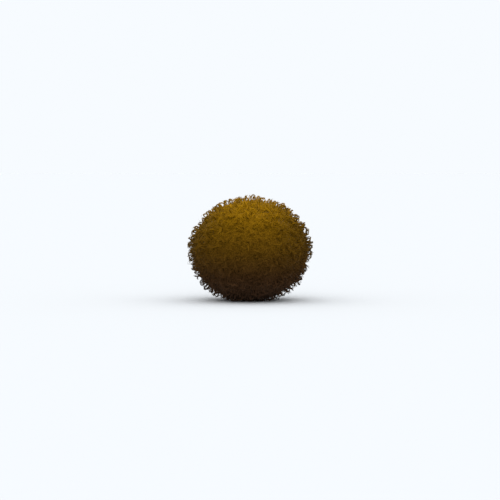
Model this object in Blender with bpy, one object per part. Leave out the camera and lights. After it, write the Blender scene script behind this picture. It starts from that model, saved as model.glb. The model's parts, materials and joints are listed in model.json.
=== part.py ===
"""Marimo moss ball: a loose ball of curly freshwater algae, about 63 mm across and 53 mm high.

The ball grew as one piece, so it is one closed solid: a slightly flattened, gently lumpy ball, with curled tufts of
filaments all over it and a small flat spot underneath where its own weight presses it down.
Metres, +Z up, with the origin under the middle of the ball, on the surface that the flat spot rests on.
"""

import math
import random

import bmesh
import bpy
from mathutils import Quaternion, Vector, noise

# The felt, which is the ball's surface between the tufts
FELT_RADIUS = 0.0293
FELT_HEIGHT_ABOVE_MIDDLE = 0.0252
FELT_DEPTH_BELOW_MIDDLE = 0.0258
FELT_POINTS = 1480

# The flat spot that the ball rests on
FOOT_RADIUS = 0.0062
FOOT_CORNERS = 24
MIDDLE_HEIGHT = FELT_DEPTH_BELOW_MIDDLE * math.sqrt(1 - (FOOT_RADIUS / FELT_RADIUS) ** 2)
LOWEST_FELT_POINT = 0.0007

# Broad lumps in the felt, which fade out towards the flat spot
LUMP_HEIGHT = 0.0005
LUMP_WIDTH = 0.012
LUMP_FADE_HEIGHT = 0.006

# Fine unevenness of the felt between the tufts. Below this height the felt is pressed smooth and bare.
FELT_ROUGHNESS = 0.00035
PRESSED_HEIGHT = 0.0018

# Curled tufts: each one rises, then hooks over to one side, and ends in a fine tip
TUFT_SPACING = 0.0029
TUFT_HEIGHTS = (0.0011, 0.0023)
TUFT_LEANS = (0.0010, 0.0022)
LOWEST_DROOPING_ROOT = 0.0050
# For each level of a tuft: share of its height, share of its lean, and share of its root's width
TUFT_LEVELS = ((0.70, 0.16, 0.48), (1.0, 1.0, 0.10))
# Neighbouring tufts hook over in much the same direction, in patches of this width
LEAN_PATCH_WIDTH = 0.007
LEAN_SCATTER = math.radians(50)

MOSS_COLOUR = (0.086, 0.054, 0.004, 1)
MOSS_ROUGHNESS = 0.9
SMOOTH_UP_TO = math.radians(50)
SEED = 32


def clear_scene():
    for obj in list(bpy.data.objects):
        bpy.data.objects.remove(obj)


def felt_point(direction):
    """The point of the smooth felt in this direction from the ball's middle, which is at MIDDLE_HEIGHT."""
    vertical = FELT_HEIGHT_ABOVE_MIDDLE if direction.z > 0 else FELT_DEPTH_BELOW_MIDDLE
    return Vector((
        direction.x * FELT_RADIUS,
        direction.y * FELT_RADIUS,
        direction.z * vertical + MIDDLE_HEIGHT,
    ))


def even_directions(count):
    """Directions spread evenly over the sphere, along a spiral that turns by the golden angle."""
    golden_angle = math.pi * (3 - math.sqrt(5))
    for i in range(count):
        z = 1 - 2 * (i + 0.5) / count
        across = math.sqrt(1 - z * z)
        yield Vector((across * math.cos(i * golden_angle), across * math.sin(i * golden_angle), z))


def foot_corners():
    for i in range(FOOT_CORNERS):
        turn = 2 * math.pi * i / FOOT_CORNERS
        yield Vector((FOOT_RADIUS * math.cos(turn), FOOT_RADIUS * math.sin(turn), 0))


def lump_at(point):
    """How far the felt stands out here, from the broad lumps."""
    fade = min(1, point.z / LUMP_FADE_HEIGHT)
    return LUMP_HEIGHT * fade * noise.noise(point / LUMP_WIDTH)


def hull_triangles(points):
    """The triangles of the points' convex hull, facing out, as sorted triples of indices.

    Blender gives a hull's faces in an order that differs from run to run, and sorting them takes that away.
    """
    bm = bmesh.new()
    index_of = {bm.verts.new(point): i for i, point in enumerate(points)}
    bmesh.ops.convex_hull(bm, input=bm.verts)
    bmesh.ops.recalc_face_normals(bm, faces=bm.faces)
    triangles = []
    for face in bm.faces:
        corners = [index_of[vert] for vert in face.verts]
        first = corners.index(min(corners))
        triangles.append(corners[first:] + corners[:first])
    bm.free()
    return sorted(triangles)


def felt_ball(rng):
    """The felt as a closed mesh. Its points lie on a convex form, so their hull is the form with its flat spot."""
    foot = list(foot_corners())
    felt = [point for point in map(felt_point, even_directions(FELT_POINTS)) if point.z > LOWEST_FELT_POINT]
    points = foot + felt
    bm = bmesh.new()
    verts = [bm.verts.new(point) for point in points]
    for triangle in hull_triangles(points):
        if max(triangle) >= FOOT_CORNERS:
            bm.faces.new([verts[i] for i in triangle])
    bm.faces.new(reversed(verts[:FOOT_CORNERS]))
    middle = Vector((0, 0, MIDDLE_HEIGHT))
    for vert in verts:
        rise = lump_at(vert.co)
        if vert.co.z > PRESSED_HEIGHT:
            rise += rng.uniform(-FELT_ROUGHNESS, FELT_ROUGHNESS)
        vert.co += (vert.co - middle).normalized() * rise
    return bm


def tuft_faces(bm, rng):
    """Faces that grow a tuft: picked at random, off the pressed felt and TUFT_SPACING or more apart."""
    faces = [f for f in bm.faces if f.calc_center_median().z > PRESSED_HEIGHT]
    rng.shuffle(faces)
    picked, centres = [], []
    for face in faces:
        centre = face.calc_center_median()
        if all((centre - other).length > TUFT_SPACING for other in centres):
            picked.append(face)
            centres.append(centre)
    return picked


def lean_direction(root, up, rng):
    """Which way across the felt a tuft hooks over. Just above the flat spot, none hooks down."""
    drift = noise.noise_vector(root / LEAN_PATCH_WIDTH)
    drift -= up * drift.dot(up)
    aside = Quaternion(up, rng.uniform(-LEAN_SCATTER, LEAN_SCATTER)) @ drift.normalized()
    if root.z < LOWEST_DROOPING_ROOT and aside.z < 0:
        return -aside
    return aside


def grow_tuft(bm, face, rng):
    """Draws one face out into a tuft that rises and then hooks over."""
    root = face.calc_center_median()
    up = (root - Vector((0, 0, MIDDLE_HEIGHT))).normalized()
    aside = lean_direction(root, up, rng)
    height = rng.uniform(*TUFT_HEIGHTS)
    lean = rng.uniform(*TUFT_LEANS)
    spread = [vert.co - root for vert in face.verts]
    for height_share, lean_share, width_share in TUFT_LEVELS:
        level = root + up * (height * height_share) + aside * (lean * lean_share)
        face = bmesh.ops.extrude_discrete_faces(bm, faces=[face])["faces"][0]
        for vert, offset in zip(face.verts, spread):
            vert.co = level + offset * width_share


def centre_across(bm):
    """Puts the origin midway across the whole ball, tufts included."""
    for axis in range(2):
        places = [vert.co[axis] for vert in bm.verts]
        shift = (min(places) + max(places)) / 2
        for vert in bm.verts:
            vert.co[axis] -= shift


def moss_material():
    material = bpy.data.materials.new("moss")
    material.use_nodes = True
    shader = material.node_tree.nodes["Principled BSDF"]
    shader.inputs["Base Color"].default_value = MOSS_COLOUR
    shader.inputs["Roughness"].default_value = MOSS_ROUGHNESS
    shader.inputs["Metallic"].default_value = 0
    return material


def build_moss_ball():
    rng = random.Random(SEED)
    noise.seed_set(SEED)
    bm = felt_ball(rng)
    for face in tuft_faces(bm, rng):
        grow_tuft(bm, face, rng)
    centre_across(bm)
    mesh = bpy.data.meshes.new("moss_ball")
    bm.to_mesh(mesh)
    bm.free()
    mesh.shade_smooth()
    mesh.set_sharp_from_angle(angle=SMOOTH_UP_TO)
    mesh.materials.append(moss_material())
    moss_ball = bpy.data.objects.new("moss_ball", mesh)
    bpy.context.scene.collection.objects.link(moss_ball)
    return moss_ball


clear_scene()
build_moss_ball()
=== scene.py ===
"""The looks of a marimo moss ball: a dense felt of fine algae filaments, with curled locks all over it.

Everything is in metres, +Z up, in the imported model's frame, where the ball rests on a small flat spot at the
origin. Each filament is a closed tube that ends in a point. Its path is first drawn on the flat, as
distances along, aside and up from its root, and is then carried round the ball's own curve.
"""

import json
import math

import bmesh
import bpy
import numpy as np
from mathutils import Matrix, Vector, noise

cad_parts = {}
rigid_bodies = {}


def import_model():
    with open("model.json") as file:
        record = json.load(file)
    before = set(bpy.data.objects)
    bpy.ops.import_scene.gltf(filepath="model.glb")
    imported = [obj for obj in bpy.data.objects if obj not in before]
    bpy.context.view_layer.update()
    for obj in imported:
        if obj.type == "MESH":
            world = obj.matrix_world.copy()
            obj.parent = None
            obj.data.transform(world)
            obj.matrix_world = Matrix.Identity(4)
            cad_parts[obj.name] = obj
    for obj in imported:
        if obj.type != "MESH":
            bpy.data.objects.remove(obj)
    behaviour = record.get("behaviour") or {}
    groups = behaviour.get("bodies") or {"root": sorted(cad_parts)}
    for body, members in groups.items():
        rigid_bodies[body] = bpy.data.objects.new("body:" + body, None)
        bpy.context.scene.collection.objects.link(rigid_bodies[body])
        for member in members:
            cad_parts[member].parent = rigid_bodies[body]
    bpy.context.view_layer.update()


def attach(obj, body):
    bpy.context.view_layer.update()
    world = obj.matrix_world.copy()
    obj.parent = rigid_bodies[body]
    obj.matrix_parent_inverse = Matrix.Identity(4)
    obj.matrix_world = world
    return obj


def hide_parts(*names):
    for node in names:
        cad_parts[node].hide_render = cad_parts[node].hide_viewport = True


NOISE_SEED = 11
# A length is taken as at least this much before anything is divided by it
TINY = 1e-12

# The felt's form and the size of its lumps, as in the solid between its tufts
FELT_RADIUS = 0.0293
FELT_HEIGHT_ABOVE_MIDDLE = 0.0252
FELT_DEPTH_BELOW_MIDDLE = 0.0258
FOOT_RADIUS = 0.0062
MIDDLE_HEIGHT = FELT_DEPTH_BELOW_MIDDLE * math.sqrt(1 - (FOOT_RADIUS / FELT_RADIUS) ** 2)
MIDDLE = (0, 0, MIDDLE_HEIGHT)
FELT_TOP = MIDDLE_HEIGHT + FELT_HEIGHT_ABOVE_MIDDLE
LUMP_HEIGHT = 0.0005
LUMP_WIDTH = 0.012
LUMP_FADE_HEIGHT = 0.006

# The packed core lies this far inside that form
PILE = 0.0011
CORE_SUBDIVISIONS = 6
# The widths and heights of its crumbs, and its shade, which is up to CRUMB_SHADE lighter on top of them and
# darker in the hollows between them, as painted shade. The core's low shade is painted shade too, for the
# depth under the filaments.
CORE_CRUMBS = ((0.0030, 0.00022), (0.0011, 0.00016), (0.0005, 0.00008))
CORE_SHADE = 0.10
CRUMB_SHADE = 0.10

# Between the filaments the core shows as matted fibres, which are lighter than what is between them: the
# darker gaps are painted shade. Each
# layer of them is turned by FIBRE_TURNS from the one before.
FIBRE_WIDTH = 0.00014
FIBRE_LENGTH = 0.0012
FIBRE_LAYERS = 4
FIBRE_TURNS = (1.1, 0.7, 1.9)
FIBRE_DETAIL = 1
FIBRE_DISTORTION = 0.8
# The noise's values at the foot and at the crest of a fibre
FIBRE_FOOT = 0.42
FIBRE_CREST = 0.80
FIBRE_CONTRAST = 0.30
FIBRE_BUMP = 0.8

# Roots are spread evenly, and each one is moved by about this share of the space between them
GOLDEN_ANGLE = math.pi * (3 - math.sqrt(5))
ROOT_SCATTER = 0.4
# Neighbouring filaments set off much the same way, in patches of this width
DRIFT_WIDTH = 0.014
# A path is stretched upwards by at most this factor to reach its own height
LARGEST_STRETCH = 2.5

# Filaments that come near the floor lie flat on it
PRESSED_BELOW = 0.0012
LOWEST_POINT = 0.00012

TUBE_SIDES = 3
# A filament loses this share of its width on the way to its tip, most of it in the outer half
TAPER = 0.45
TAPER_POWER = 1.5
# A direction that hardly any filament sets off in
ASKEW = (0.31, 0.52, 0.79)
# A layer with this many triangles or more becomes two pieces
MOST_TRIANGLES = 190000

# Light scatters from filament to filament, so each one is shaded this far as part of the ball's own surface
SHADED_AS_BALL = 0.7

# The map of heights and shades reaches this far above the felt
MAP_MARGIN = 0.003

# Ranges for each kind of filament, with its angles in degrees: its share of them all, its length, its lift
# off the surface, how far it hooks over, where along it the hook starts and is complete, how far its tip
# flicks up again, how far it swings to one side, its sway to and fro, how crinkled it is, how high it stands
# over the core, and how far its tips part
MAT_KINDS = (
    dict(share=1.0, length=(0.0022, 0.0040), lift=(10, 40), hook=(20, 60), onset=(0.0, 0.3),
         done=(1, 1), flick=(0, 0), swing=(-110, 110), sway=(-60, 60), crinkle=(0, 0),
         height=(0.00025, 0.0005), part=(0, 0)),
)
FELT_KINDS = (
    dict(share=1.0, length=(0.0020, 0.0038), lift=(25, 65), hook=(20, 110), onset=(0.0, 0.3),
         done=(1, 1), flick=(0, 0), swing=(-110, 110), sway=(-75, 75), crinkle=(0, 0),
         height=(0.0003, 0.0008), part=(0, 0)),
)
CURL_KINDS = (
    dict(share=0.5, length=(0.0020, 0.0042), lift=(45, 80), hook=(80, 200), onset=(0.1, 0.4),
         done=(1, 1), flick=(-40, 40), swing=(-120, 120), sway=(-60, 60), crinkle=(0, 25),
         height=(0.0006, 0.0013), part=(0, 0)),
    dict(share=0.5, length=(0.0020, 0.0040), lift=(30, 60), hook=(30, 90), onset=(0.1, 0.4),
         done=(1, 1), flick=(-40, 40), swing=(-60, 60), sway=(50, 140), crinkle=(0, 25),
         height=(0.0005, 0.0012), part=(0, 0)),
)
WISP_KINDS = (
    dict(share=0.6, length=(0.0036, 0.0060), lift=(60, 88), hook=(20, 120), onset=(0.1, 0.5),
         done=(1, 1), flick=(-40, 60), swing=(-90, 90), sway=(-50, 50), crinkle=(5, 22),
         height=(0.0024, 0.0046), part=(0, 0)),
    dict(share=0.4, length=(0.0036, 0.0064), lift=(45, 80), hook=(110, 240), onset=(0.1, 0.4),
         done=(1, 1), flick=(-40, 40), swing=(-90, 90), sway=(-60, 60), crinkle=(5, 20),
         height=(0.0020, 0.0038), part=(0, 0)),
)
# In turn: arches, hooks, loops, waves, slanting tufts and forks
LOCK_KINDS = (
    dict(share=0.36, length=(0.0050, 0.0074), lift=(68, 88), hook=(72, 105), onset=(0.10, 0.25),
         done=(0.4, 0.65), flick=(-70, 60), swing=(-80, 80), sway=(-45, 45), crinkle=(8, 30),
         height=(0.0028, 0.0038), part=(0.0, 0.08)),
    dict(share=0.20, length=(0.0044, 0.0064), lift=(60, 85), hook=(130, 200), onset=(0.25, 0.45),
         done=(1, 1), flick=(-30, 50), swing=(-90, 90), sway=(-40, 40), crinkle=(10, 30),
         height=(0.0024, 0.0040), part=(0.0, 0.06)),
    dict(share=0.12, length=(0.0050, 0.0080), lift=(55, 80), hook=(210, 300), onset=(0.05, 0.2),
         done=(1, 1), flick=(0, 0), swing=(-90, 90), sway=(-40, 40), crinkle=(5, 20),
         height=(0.0024, 0.0037), part=(0.0, 0.05)),
    dict(share=0.12, length=(0.0044, 0.0064), lift=(50, 75), hook=(40, 100), onset=(0.1, 0.4),
         done=(1, 1), flick=(-60, 60), swing=(-60, 60), sway=(70, 130), crinkle=(5, 25),
         height=(0.0022, 0.0038), part=(0.0, 0.1)),
    dict(share=0.10, length=(0.0030, 0.0046), lift=(35, 60), hook=(0, 45), onset=(0.1, 0.5),
         done=(1, 1), flick=(-40, 40), swing=(-70, 70), sway=(-40, 40), crinkle=(10, 35),
         height=(0.0022, 0.0036), part=(0.1, 0.35)),
    dict(share=0.10, length=(0.0036, 0.0052), lift=(60, 88), hook=(10, 60), onset=(0.2, 0.5),
         done=(1, 1), flick=(-40, 40), swing=(-50, 50), sway=(-30, 30), crinkle=(10, 30),
         height=(0.0030, 0.0044), part=(0.25, 0.5)),
)
FLICK_FROM = 0.7
CRINKLES = (0.8, 2.0)

# The layers of filaments that grow one by one: their kinds, how many, the points along each, their widths,
# how deep they are rooted, how many degrees each one turns from its neighbours, and their shades: at the
# root, at the tip, and how much they differ. The darker roots are painted shade, down among the filaments.
MAT = dict(kinds=MAT_KINDS, count=8000, points=4, widths=(0.00015, 0.00024), rooted=0.0001, scatter=60,
           shades=(0.24, 0.32, 0.06), seed=1)
FELT = dict(kinds=FELT_KINDS, count=15500, points=5, widths=(0.00014, 0.00022), rooted=0.0002, scatter=45,
            shades=(0.26, 0.42, 0.07), seed=2)
CURLS = dict(kinds=CURL_KINDS, count=5000, points=7, widths=(0.00018, 0.00026), rooted=0.0002, scatter=80,
             shades=(0.24, 0.36, 0.06), seed=3)
WISPS = dict(kinds=WISP_KINDS, count=380, points=10, widths=(0.00010, 0.00016), rooted=0.0002, scatter=90,
             shades=(0.22, 0.30, 0.07), seed=4)

# The locks, and the strands that each one is made of
LOCKS = 980
LOCK_POINTS = 10
LOCK_ROOTED = 0.0003
LOCK_SCATTER = 70
LOCK_SEED = 7
STRANDS_PER_LOCK = 6
STRAND_WIDTHS = (0.00026, 0.00036)
# Locks grow taller by this share where they point straight up at the light
GROWTH_TO_LIGHT = 0.02
# How much of its lock's length a strand has
STRAND_REACH = (0.72, 1.0)
# How many degrees a strand's own course differs from its lock's, in most strands and in the loose ones
BOUND_SCATTER = 2
LOOSE_SCATTER = 14
LOOSE_SHARE = 0.10
# From here on along a lock, its strands part
PARTING_START = 0.4
# How far strands stand off their lock's middle line: the scale, what it is multiplied by at the root, how
# much they bulge out midway, the range for single strands, and how much closer each lock's first strand is
LOCK_SPREAD = 0.00020
ROOT_SPREAD = 0.15
MIDWAY_BULGE = 3.4
SPREAD_RANGE = (0.7, 1.4)
FIRST_STRAND_SPREAD = 0.1
# How far they wind round that line, and the range of angles that their places round it are moved by
LOCK_TWIST = math.radians(220)
PLACE_RANGE = (0, 0.7)
# The shades at a lock's root and at its tip, and how much locks and strands differ. The darker root is painted
# shade. Locks are darker than the felt, partly their own colour and partly painted shade that tones down the
# light their raised strands catch.
LOCK_SHADES = (0.20, 0.27)
LOCK_SHADE_SCATTER = 0.03
STRAND_SHADE_SCATTER = 0.05

# The moss's colours by height, where its shade is darkest and where it is lightest. They are lighter and more
# golden towards the top and dark brown lower down: partly the moss's own colour, partly painted light on its
# top and painted shade underneath.
DARK_COLOURS = (
    (0.0, (0.0305, 0.0147, 0.0088)),
    (0.25, (0.0213, 0.0090, 0.0033)),
    (0.5, (0.0382, 0.0155, 0.0011)),
    (0.75, (0.0546, 0.0227, 0.0003)),
    (1.0, (0.105, 0.0424, 0.0003)),
)
LIGHT_COLOURS = (
    (0.0, (0.210, 0.106, 0.055)),
    (0.25, (0.157, 0.070, 0.018)),
    (0.5, (0.268, 0.132, 0.006)),
    (0.75, (0.352, 0.180, 0.001)),
    (1.0, (0.63, 0.333, 0.001)),
)
DARK_ROUGHNESS = 0.9
LIGHT_ROUGHNESS = 0.6
SPECULAR = 0.04

# Fine fuzz that catches the light towards the edges
SHEEN = 0.09
SHEEN_ROUGHNESS = 0.3
SHEEN_TINT = (1, 0.96, 0.80, 1)

# The photograph's frame: half a millimetre to a pixel, seen from the front and a little above
CAMERA_DISTANCE = 0.9
CAMERA_ELEVATION = math.radians(2.5)
VIEW_WIDTH = 0.250
SENSOR_WIDTH = 36

# The pale surroundings: even round the horizon and brighter overhead, with a weak key light from the front
FLOOR_RADIUS = 60.0
FLOOR_SEGMENTS = 96
FLOOR_COLOUR = (0.555, 0.557, 0.559, 1)
FLOOR_ROUGHNESS = 0.9
SURROUNDINGS = (0.93, 0.965, 1.0, 1)
HORIZON_BAND = 0.25
HORIZON_STRENGTH = 1
OVERHEAD_STRENGTH = 2.2
KEY_STRENGTH = 0.6
KEY_ANGLE = math.radians(40)
KEY_DIRECTION = (0, 0.87, -0.5)

# A small soft lamp near the ball, for the glow at its top front, which fades to its sides
LAMP_PLACE = (0, -0.048, 0.064)
LAMP_RADIUS = 0.020
LAMP_POWER = 0.032


def smooth_step(x):
    """A smooth rise from 0 to 1 while x goes from 0 to 1."""
    x = np.clip(x, 0, 1)
    return x * x * (3 - 2 * x)


def unit(vectors):
    """These vectors' directions, as vectors of length 1."""
    return vectors / np.maximum(np.linalg.norm(vectors, axis=-1, keepdims=True), TINY)


# The ball's form

def even_directions(count, rng):
    """Directions spread evenly over the sphere, each one moved a little at random."""
    steps = np.arange(count) + 0.5
    turn = steps * GOLDEN_ANGLE
    z = 1 - 2 * steps / count
    across = np.sqrt(1 - z * z)
    directions = np.stack([across * np.cos(turn), across * np.sin(turn), z], 1)
    spacing = math.sqrt(4 * math.pi / count)
    return unit(directions + rng.normal(0, ROOT_SCATTER * spacing, directions.shape))


def core_surface(directions):
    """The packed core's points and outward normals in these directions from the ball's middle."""
    depth = np.where(directions[..., 2] > 0, FELT_HEIGHT_ABOVE_MIDDLE, FELT_DEPTH_BELOW_MIDDLE) - PILE
    radius = np.full_like(depth, FELT_RADIUS - PILE)
    sizes = np.stack([radius, radius, depth], -1)
    return directions * sizes + MIDDLE, unit(directions / sizes)


def lump_heights(points):
    """How far the broad lumps raise each point."""
    return np.array([
        LUMP_HEIGHT * min(1, max(0, z) / LUMP_FADE_HEIGHT) * noise.noise(Vector((x, y, z)) / LUMP_WIDTH)
        for x, y, z in points
    ])


def headings_at(directions, scatter, rng):
    """Which way each filament sets off: a drift that it shares with its neighbours, and a random turn."""
    points, normals = core_surface(directions)
    drift = np.array([noise.noise_vector(Vector(point) / DRIFT_WIDTH) for point in points])
    drift = unit(drift - normals * (drift * normals).sum(1, keepdims=True))
    turn = rng.normal(0, math.radians(scatter), len(points))[:, None]
    return drift * np.cos(turn) + np.cross(normals, drift) * np.sin(turn)


# Paths

def draw_ranges(kinds, which, name, rng):
    """A value for each filament from the range that its kind has for this name."""
    lows = np.array([kind[name][0] for kind in kinds])[which]
    highs = np.array([kind[name][1] for kind in kinds])[which]
    return lows + (highs - lows) * rng.random(len(which))


def make_shapes(kinds, count, rng):
    """Values for each filament, drawn from the ranges of the kind that it is."""
    which = rng.choice(len(kinds), size=count, p=[kind["share"] for kind in kinds])
    names = [name for name in kinds[0] if name != "share"]
    shape = {name: draw_ranges(kinds, which, name, rng) for name in names}
    mirrored = rng.choice([-1, 1], count)
    shape["swing"] *= mirrored
    shape["sway"] *= mirrored
    shape["crinkles"] = rng.uniform(*CRINKLES, count)
    shape["phase"] = rng.random(count)
    return shape


def flat_paths(shape, reach, points):
    """Paths drawn on the flat, as distances along, aside and up from their roots."""
    t = np.linspace(0, 1, points)[None] * reach[:, None]
    onset = shape["onset"][:, None]
    bend = smooth_step((t - onset) / (shape["done"][:, None] - onset))
    flick = smooth_step((t - FLICK_FROM) / (1 - FLICK_FROM))
    wave = 2 * math.pi * (shape["crinkles"][:, None] * t + shape["phase"][:, None])
    lift = shape["lift"][:, None] - shape["hook"][:, None] * bend + shape["flick"][:, None] * flick
    lift = np.radians(lift + shape["crinkle"][:, None] * np.sin(wave))
    turn = shape["swing"][:, None] * t + shape["sway"][:, None] * np.sin(2 * math.pi * t)
    turn = np.radians(turn + shape["crinkle"][:, None] * np.cos(wave))
    step = (shape["length"] * reach)[:, None] / (points - 1)
    steps = np.stack([np.cos(lift) * np.cos(turn), np.cos(lift) * np.sin(turn), np.sin(lift)]) * step
    return np.concatenate([np.zeros_like(steps[:, :, :1]), np.cumsum(steps[:, :, 1:], axis=2)], axis=2)


def stretched(flat, heights):
    """Flat paths, stretched upwards to their own heights as far as LARGEST_STRETCH lets them."""
    flat = flat.copy()
    flat[2] *= np.clip(heights / np.maximum(flat[2].max(1), TINY), None, LARGEST_STRETCH)[:, None]
    return flat


def carried_round(directions, headings, raised, flat):
    """Flat paths carried round the ball's curve."""
    along, aside, up = flat
    sideways = np.cross(directions, headings)
    shift = along[..., None] * headings[:, None] + aside[..., None] * sideways[:, None]
    points, normals = core_surface(unit(directions[:, None] + shift / FELT_RADIUS))
    return points + normals * (up + raised[:, None])[..., None]


def pressed(paths):
    """Paths with what would go through the floor laid flat on it."""
    paths = paths.copy()
    z = paths[..., 2]
    room = PRESSED_BELOW - LOWEST_POINT
    low = z < PRESSED_BELOW
    z[low] = LOWEST_POINT + room * np.exp((z[low] - PRESSED_BELOW) / room)
    return paths


def frames_along(paths):
    """Two directions square to each path at each of its points, turning as little as they can along it."""
    forward = unit(np.gradient(paths, axis=1))
    across = np.empty_like(forward)
    guess = np.cross(forward[:, 0], ASKEW)
    for i in range(paths.shape[1]):
        guess = unit(guess - forward[:, i] * (guess * forward[:, i]).sum(1, keepdims=True))
        across[:, i] = guess
    return across, np.cross(forward, across)


# Meshes

def tube_points(paths, radii):
    """The points of a tube along each path: rings round the path's points, and its last point as the tip."""
    rings = paths.shape[1] - 1
    across, other = frames_along(paths)
    turns = np.arange(TUBE_SIDES) * 2 * math.pi / TUBE_SIDES
    out = across[:, :rings, None] * np.cos(turns)[:, None] + other[:, :rings, None] * np.sin(turns)[:, None]
    ring_points = paths[:, :rings, None] + out * radii[:, :rings, None, None]
    return np.concatenate([ring_points.reshape(len(paths), -1, 3), paths[:, -1:]], axis=1)


def tube_faces(strands, rings):
    """The corners of all the tubes' faces in one row, and where each face starts in it."""
    side = np.arange(TUBE_SIDES)
    after = (side + 1) % TUBE_SIDES
    cap = side[::-1]
    quads = [
        ring * TUBE_SIDES + np.stack([side, after, after + TUBE_SIDES, side + TUBE_SIDES], 1)
        for ring in range(rings - 1)
    ]
    last = (rings - 1) * TUBE_SIDES
    tip = rings * TUBE_SIDES
    tips = np.stack([last + side, last + after, np.full(TUBE_SIDES, tip)], 1)
    pattern = np.concatenate([cap, *[quad.ravel() for quad in quads], tips.ravel()])
    sizes = np.array([TUBE_SIDES] + [4] * TUBE_SIDES * (rings - 1) + [3] * TUBE_SIDES)
    corners = (np.arange(strands)[:, None] * (tip + 1) + pattern).ravel()
    starts = np.concatenate([[0], np.cumsum(np.tile(sizes, strands))[:-1]])
    return corners, starts


def tube_mesh(name, paths, radii, shades):
    """One mesh of closed tubes, one along each path."""
    rings = paths.shape[1] - 1
    points = tube_points(paths, radii)
    shade = np.concatenate([np.repeat(shades[:, :rings], TUBE_SIDES, axis=1), shades[:, -1:]], axis=1)
    corners, starts = tube_faces(len(paths), rings)
    mesh = bpy.data.meshes.new(name)
    mesh.vertices.add(shade.size)
    mesh.vertices.foreach_set("co", points.ravel())
    mesh.loops.add(len(corners))
    mesh.loops.foreach_set("vertex_index", corners)
    mesh.polygons.add(len(starts))
    mesh.polygons.foreach_set("loop_start", starts)
    mesh.update(calc_edges=True)
    mesh.validate()
    mesh.shade_smooth()
    turn_normals(mesh)
    set_shade(mesh, shade.ravel())
    map_shade(mesh, shade.ravel())
    return mesh


def mesh_points(mesh):
    """The mesh's points, one to a row."""
    points = np.empty(len(mesh.vertices) * 3)
    mesh.vertices.foreach_get("co", points)
    return points.reshape(-1, 3)


def turn_normals(mesh):
    """Turns the mesh's normals part of the way to those of the ball's own surface."""
    points = mesh_points(mesh)
    own = np.empty(points.size)
    mesh.vertex_normals.foreach_get("vector", own)
    sizes = np.array([FELT_RADIUS, FELT_RADIUS, FELT_HEIGHT_ABOVE_MIDDLE])
    outward = unit((points - MIDDLE) / sizes ** 2)
    turned = unit(own.reshape(-1, 3) * (1 - SHADED_AS_BALL) + outward * SHADED_AS_BALL)
    mesh.normals_split_custom_set_from_vertices(turned)


def set_shade(mesh, shade):
    """Stores each point's shade, from 0 to 1, for the material."""
    mesh.attributes.new("shade", "FLOAT", "POINT").data.foreach_set("value", shade)


def map_shade(mesh, shade):
    """A map of the mesh by height and shade, which are all that a filament's colours need."""
    corner = np.empty(len(mesh.loops), np.int32)
    mesh.loops.foreach_get("vertex_index", corner)
    height = mesh_points(mesh)[:, 2] / (FELT_TOP + MAP_MARGIN)
    uv = np.stack([height, shade], 1).clip(0, 1)[corner]
    mesh.uv_layers.new(name="OFBake").uv.foreach_set("vector", uv.ravel())


def taper(widths, points):
    """Radii along filaments of these widths, which thin towards the tip."""
    t = np.linspace(0, 1, points)
    return widths[:, None] / 2 * (1 - TAPER * t ** TAPER_POWER)


def finished(bm, name):
    """The mesh that was built in bm."""
    mesh = bpy.data.meshes.new(name)
    bm.to_mesh(mesh)
    bm.free()
    return mesh


# Pieces

def add_object(name, data):
    """A new object in the scene that shows this mesh, light or camera."""
    made = bpy.data.objects.new(name, data)
    bpy.context.scene.collection.objects.link(made)
    return made


def add_piece(name, mesh, material):
    """A piece of the moss, which rides on the ball's one body and takes the place of its solid."""
    mesh.materials.append(material)
    piece = add_object(name, mesh)
    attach(piece, "root")
    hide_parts("moss_ball")


def add_filaments(name, paths, radii, shades, material):
    """One piece of filaments, or two where one would have too many triangles: those rooted high and low."""
    shades = shades.clip(0, 1)
    triangles = len(paths) * (2 * TUBE_SIDES * (paths.shape[1] - 2) + TUBE_SIDES + 1)
    if triangles < MOST_TRIANGLES:
        add_piece(name, tube_mesh(name, paths, radii, shades), material)
        return
    upper = paths[:, 0, 2] > MIDDLE_HEIGHT
    for half, chosen in ((f"{name}_upper", upper), (f"{name}_lower", ~upper)):
        add_piece(half, tube_mesh(half, paths[chosen], radii[chosen], shades[chosen]), material)


def add_core(material):
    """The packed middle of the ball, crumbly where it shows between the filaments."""
    bm = bmesh.new()
    bmesh.ops.create_icosphere(bm, subdivisions=CORE_SUBDIVISIONS, radius=1)
    points, normals = core_surface(unit(np.array([vert.co for vert in bm.verts])))
    crumbs = np.zeros(len(points))
    for width, height in CORE_CRUMBS:
        crumbs += [height * noise.noise(Vector(point) / width) for point in points]
    points += normals * (lump_heights(points) + crumbs)[:, None]
    for vert, point in zip(bm.verts, pressed(points[None])[0]):
        vert.co = point
    mesh = finished(bm, "moss_core")
    mesh.shade_smooth()
    # Lighter on the crumbs and darker in the hollows between them: painted shade
    set_shade(mesh, CORE_SHADE + CRUMB_SHADE * crumbs / sum(height for _, height in CORE_CRUMBS))
    add_piece("moss_core", mesh, material)


def add_layer(name, layer, material):
    """A layer of filaments that grow one by one."""
    rng = np.random.default_rng(layer["seed"])
    count = layer["count"]
    points = layer["points"]
    directions = even_directions(count, rng)
    headings = headings_at(directions, layer["scatter"], rng)
    shape = make_shapes(layer["kinds"], count, rng)
    flat = stretched(flat_paths(shape, np.ones(count), points), shape["height"])
    raised = lump_heights(core_surface(directions)[0]) - layer["rooted"]
    paths = pressed(carried_round(directions, headings, raised, flat))

    # Darker at the root than at the tip, as painted shade down among the filaments, with a random tone for
    # each
    root, tip, scatter = layer["shades"]
    shades = root + (tip - root) * np.linspace(0, 1, points) + rng.normal(0, scatter, (count, 1))
    radii = taper(rng.uniform(*layer["widths"], count), points)
    add_filaments(name, paths, radii, shades, material)


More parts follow.
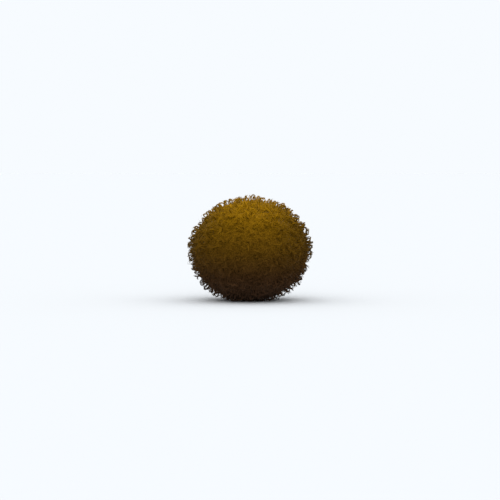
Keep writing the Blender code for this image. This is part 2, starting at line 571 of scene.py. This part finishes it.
def strand_shapes(shape, strand, lock, rng):
    """Each strand's own values, a little off its lock's, and how much of the lock's length it has."""
    count = len(lock)
    shape = {name: values[lock] for name, values in shape.items()}
    scatter = np.where(rng.random(count) < LOOSE_SHARE, LOOSE_SCATTER, BOUND_SCATTER)
    for name in ("lift", "hook", "swing"):
        shape[name] = shape[name] + rng.normal(0, 1, count) * scatter
    reach = rng.uniform(*STRAND_REACH, count)
    reach[strand == 0] = 1
    return shape, reach


def wound(guides, t, strand, lock, rng):
    """Strands wound round their lock's middle line. Each lock's first strand stays close to it."""
    count = len(lock)
    across, other = frames_along(guides)
    place = strand * 2 * math.pi / (STRANDS_PER_LOCK - 1) + rng.uniform(*PLACE_RANGE, count)
    turn = place[:, None] + LOCK_TWIST * t * rng.choice([-1, 1], LOCKS)[lock][:, None]
    bulge = ROOT_SPREAD + MIDWAY_BULGE * t * (1 - t)
    spread = LOCK_SPREAD * bulge * rng.uniform(*SPREAD_RANGE, count)[:, None]
    spread[strand == 0] *= FIRST_STRAND_SPREAD
    return guides + spread[..., None] * (across * np.cos(turn)[..., None] + other * np.sin(turn)[..., None])


def add_locks(material):
    """Curled locks of a few strands each, which hook, loop or fork above the felt."""
    rng = np.random.default_rng(LOCK_SEED)
    directions = even_directions(LOCKS, rng)
    headings = headings_at(directions, LOCK_SCATTER, rng)
    shape = make_shapes(LOCK_KINDS, LOCKS, rng)
    shape["height"] *= 1 + GROWTH_TO_LIGHT * directions[:, 2].clip(0, 1) ** 2
    raised = lump_heights(core_surface(directions)[0]) - LOCK_ROOTED

    strand = np.tile(np.arange(STRANDS_PER_LOCK), LOCKS)
    lock = np.repeat(np.arange(LOCKS), STRANDS_PER_LOCK)
    count = len(lock)
    shape, reach = strand_shapes(shape, strand, lock, rng)
    flat = flat_paths(shape, reach, LOCK_POINTS)
    tops = np.maximum.reduceat(flat[2].max(1), np.arange(0, count, STRANDS_PER_LOCK))[lock]
    flat[2] *= (shape["height"] / tops)[:, None]
    t = np.linspace(0, 1, LOCK_POINTS)[None] * reach[:, None]
    parting = np.where(strand % 2 == 0, 1, -1) * shape["part"] * shape["length"]
    flat[1] += parting[:, None] * np.maximum(0, t - PARTING_START)
    guides = carried_round(directions[lock], headings[lock], raised[lock], flat)
    paths = pressed(wound(guides, t, strand, lock, rng))

    radii = taper(rng.uniform(*STRAND_WIDTHS, count), LOCK_POINTS)
    own = rng.normal(0, LOCK_SHADE_SCATTER, LOCKS)[lock] + rng.normal(0, STRAND_SHADE_SCATTER, count)
    # Darker at the root as painted shade, with a random tone for each lock and each strand
    root, tip = LOCK_SHADES
    add_filaments("moss_locks", paths, radii, root + (tip - root) * t + own[:, None], material)


# Materials

def new_material(name):
    """A new material, its nodes and its shader."""
    material = bpy.data.materials.new(name)
    material.use_nodes = True
    tree = material.node_tree
    return material, tree, tree.nodes["Principled BSDF"]


def node(tree, kind, **values):
    """A new node of this kind, with these settings."""
    made = tree.nodes.new(kind)
    for name, value in values.items():
        setattr(made, name, value)
    return made


def colours_by_height(tree, place, shade):
    """Green-gold on top and dark brown underneath, partly the moss's own colour and partly painted light and
    shade. Lighter where the shade is higher.
    """
    split = node(tree, "ShaderNodeSeparateXYZ")
    tree.links.new(place, split.inputs[0])
    height = node(tree, "ShaderNodeMapRange")
    height.inputs["From Max"].default_value = FELT_TOP
    tree.links.new(split.outputs["Z"], height.inputs["Value"])
    mix = node(tree, "ShaderNodeMix", data_type="RGBA")
    tree.links.new(shade, mix.inputs["Factor"])
    ends = [socket for socket in mix.inputs if socket.type == "RGBA"]
    for end, stops in zip(ends, (DARK_COLOURS, LIGHT_COLOURS)):
        ramp = node(tree, "ShaderNodeValToRGB")
        tree.links.new(height.outputs["Result"], ramp.inputs["Fac"])
        elements = ramp.color_ramp.elements
        for position, _ in stops[1:-1]:
            elements.new(position)
        for element, (position, colour) in zip(elements, stops):
            element.position = position
            element.color = (*colour, 1)
        tree.links.new(ramp.outputs["Color"], end)
    return next(socket for socket in mix.outputs if socket.type == "RGBA")


def finish_moss(tree, shader, place, shade):
    """The colours and the dull, slightly fuzzy surface of the moss. Lighter filaments are a bit smoother."""
    tree.links.new(colours_by_height(tree, place, shade), shader.inputs["Base Color"])
    rough = node(tree, "ShaderNodeMapRange")
    rough.inputs["To Min"].default_value = DARK_ROUGHNESS
    rough.inputs["To Max"].default_value = LIGHT_ROUGHNESS
    tree.links.new(shade, rough.inputs["Value"])
    tree.links.new(rough.outputs["Result"], shader.inputs["Roughness"])
    shader.inputs["Specular IOR Level"].default_value = SPECULAR
    shader.inputs["Sheen Weight"].default_value = SHEEN
    shader.inputs["Sheen Roughness"].default_value = SHEEN_ROUGHNESS
    shader.inputs["Sheen Tint"].default_value = SHEEN_TINT


def filament_material():
    """The filaments, whose shades are stored on their points: a random tone, with painted shade at their
    roots.
    """
    material, tree, shader = new_material("moss")
    place = node(tree, "ShaderNodeTexCoord").outputs["Object"]
    shade = node(tree, "ShaderNodeAttribute", attribute_name="shade").outputs["Fac"]
    finish_moss(tree, shader, place, shade)
    return material


def fibre_heights(tree, place):
    """Fine fibres lying every way: the highest of a few layers of noise, each drawn out in its own way."""
    highest = None
    for layer in range(FIBRE_LAYERS):
        turn = node(tree, "ShaderNodeMapping", vector_type="TEXTURE")
        turn.inputs["Rotation"].default_value = [layer * angle for angle in FIBRE_TURNS]
        turn.inputs["Scale"].default_value = (FIBRE_LENGTH, FIBRE_WIDTH, FIBRE_WIDTH)
        tree.links.new(place, turn.inputs["Vector"])
        fibres = node(tree, "ShaderNodeTexNoise")
        fibres.inputs["Scale"].default_value = 1
        fibres.inputs["Detail"].default_value = FIBRE_DETAIL
        fibres.inputs["Distortion"].default_value = FIBRE_DISTORTION
        tree.links.new(turn.outputs["Vector"], fibres.inputs["Vector"])
        if highest is None:
            highest = fibres.outputs["Fac"]
            continue
        either = node(tree, "ShaderNodeMath", operation="MAXIMUM")
        tree.links.new(highest, either.inputs[0])
        tree.links.new(fibres.outputs["Fac"], either.inputs[1])
        highest = either.outputs[0]
    spread = node(tree, "ShaderNodeMapRange")
    spread.inputs["From Min"].default_value = FIBRE_FOOT
    spread.inputs["From Max"].default_value = FIBRE_CREST
    tree.links.new(highest, spread.inputs["Value"])
    return spread.outputs["Result"]


def packed_material():
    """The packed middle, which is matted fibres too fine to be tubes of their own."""
    material, tree, shader = new_material("packed_moss")
    place = node(tree, "ShaderNodeTexCoord").outputs["Object"]
    fibres = fibre_heights(tree, place)
    crumbs = node(tree, "ShaderNodeAttribute", attribute_name="shade").outputs["Fac"]
    # The core's shade: lighter on the fibres and crumbs and darker between them, as painted shade
    shade = node(tree, "ShaderNodeMath", operation="MULTIPLY_ADD")
    tree.links.new(fibres, shade.inputs[0])
    shade.inputs[1].default_value = FIBRE_CONTRAST
    tree.links.new(crumbs, shade.inputs[2])
    finish_moss(tree, shader, place, shade.outputs[0])
    bump = node(tree, "ShaderNodeBump")
    bump.inputs["Strength"].default_value = FIBRE_BUMP
    bump.inputs["Distance"].default_value = FIBRE_WIDTH
    tree.links.new(fibres, bump.inputs["Height"])
    tree.links.new(bump.outputs["Normal"], shader.inputs["Normal"])
    return material


# Stage

def add_floor():
    """The plain pale floor, which is wide enough to have no visible edge."""
    bm = bmesh.new()
    bmesh.ops.create_circle(bm, cap_ends=True, segments=FLOOR_SEGMENTS, radius=FLOOR_RADIUS)
    mesh = finished(bm, "floor")
    material, _, shader = new_material("floor")
    shader.inputs["Base Color"].default_value = FLOOR_COLOUR
    shader.inputs["Roughness"].default_value = FLOOR_ROUGHNESS
    shader.inputs["Specular IOR Level"].default_value = 0
    mesh.materials.append(material)
    add_object("floor", mesh)


def add_surroundings():
    """Pale light from all round, which the floor fades into, and more of it from overhead."""
    world = bpy.data.worlds.new("studio")
    world.use_nodes = True
    tree = world.node_tree
    background = tree.nodes["Background"]
    way = node(tree, "ShaderNodeTexCoord")
    split = node(tree, "ShaderNodeSeparateXYZ")
    tree.links.new(way.outputs["Generated"], split.inputs[0])
    rise = node(tree, "ShaderNodeMapRange", interpolation_type="SMOOTHSTEP")
    rise.inputs["From Min"].default_value = HORIZON_BAND
    rise.inputs["To Min"].default_value = HORIZON_STRENGTH
    rise.inputs["To Max"].default_value = OVERHEAD_STRENGTH
    tree.links.new(split.outputs["Z"], rise.inputs["Value"])
    background.inputs["Color"].default_value = SURROUNDINGS
    tree.links.new(rise.outputs["Result"], background.inputs["Strength"])
    bpy.context.scene.world = world


def add_key():
    """The key light, which is a wide soft sun."""
    light = bpy.data.lights.new("key", "SUN")
    light.energy = KEY_STRENGTH
    light.angle = KEY_ANGLE
    key = add_object("key", light)
    key.rotation_euler = Vector(KEY_DIRECTION).to_track_quat("-Z", "Y").to_euler()


def add_lamp():
    """The small lamp near the ball. It lights only the ball, so the floor stays even."""
    light = bpy.data.lights.new("lamp", "POINT")
    light.energy = LAMP_POWER
    light.shadow_soft_size = LAMP_RADIUS
    lamp = add_object("lamp", light)
    lamp.location = LAMP_PLACE
    ball = bpy.data.collections.new("ball")
    for piece in bpy.data.objects:
        if piece.name.startswith("moss_"):
            ball.objects.link(piece)
    lamp.light_linking.receiver_collection = ball


def add_camera():
    """The camera in front of the ball, with the ball's middle in the middle of its view."""
    data = bpy.data.cameras.new("camera")
    data.sensor_width = SENSOR_WIDTH
    data.lens = SENSOR_WIDTH * CAMERA_DISTANCE / VIEW_WIDTH
    camera = add_object("camera", data)
    back = Vector((0, -math.cos(CAMERA_ELEVATION), math.sin(CAMERA_ELEVATION)))
    camera.location = Vector(MIDDLE) + back * CAMERA_DISTANCE
    camera.rotation_euler = (-back).to_track_quat("-Z", "Y").to_euler()
    bpy.context.scene.camera = camera


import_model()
noise.seed_set(NOISE_SEED)

moss = filament_material()
add_core(packed_material())
add_layer("moss_mat", MAT, moss)
add_layer("moss_felt", FELT, moss)
add_layer("moss_curls", CURLS, moss)
add_locks(moss)
add_layer("moss_wisps", WISPS, moss)

add_floor()
add_surroundings()
add_key()
add_lamp()
add_camera()
bpy.context.scene.view_settings.view_transform = "Standard"
